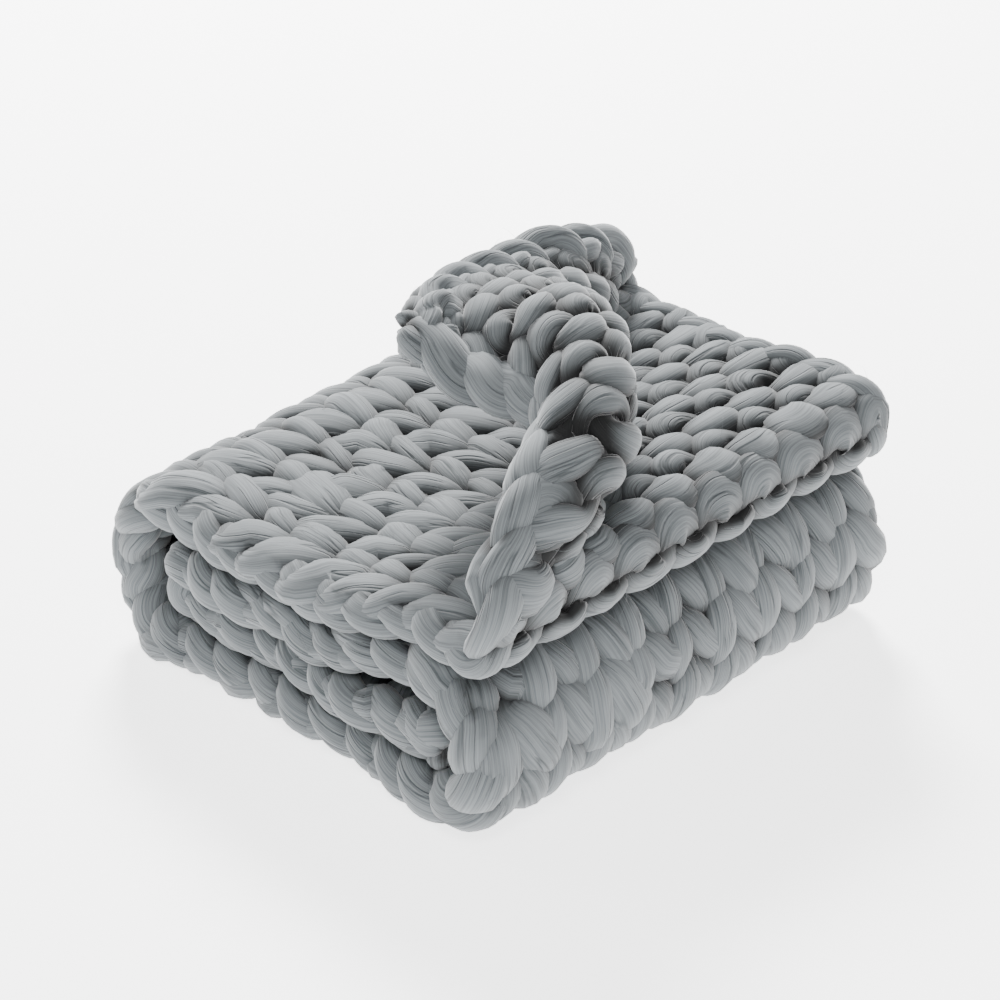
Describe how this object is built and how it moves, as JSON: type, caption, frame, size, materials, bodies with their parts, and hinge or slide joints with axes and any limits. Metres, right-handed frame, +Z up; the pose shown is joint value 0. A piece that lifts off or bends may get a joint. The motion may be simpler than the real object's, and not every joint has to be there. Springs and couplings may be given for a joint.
{
  "type": "folded chunky knit throw",
  "caption": "Thick knitted throw folded into a soft rectangular bundle, with one corner of its top layer turned back over itself.",
  "frame": {"origin": "centre of the bundle's underside, where it rests", "axes": "+Z up, +Y along the folds, +X towards the face under the turned corner"},
  "size_m": [0.4032, 0.427, 0.3097],
  "materials": {
    "knit_roving": "matt, unspun thick roving with a soft fuzz"
  },
  "bodies": {
    "root": {"knit_throw": "knit_roving"}
  },
  "joints": []
}
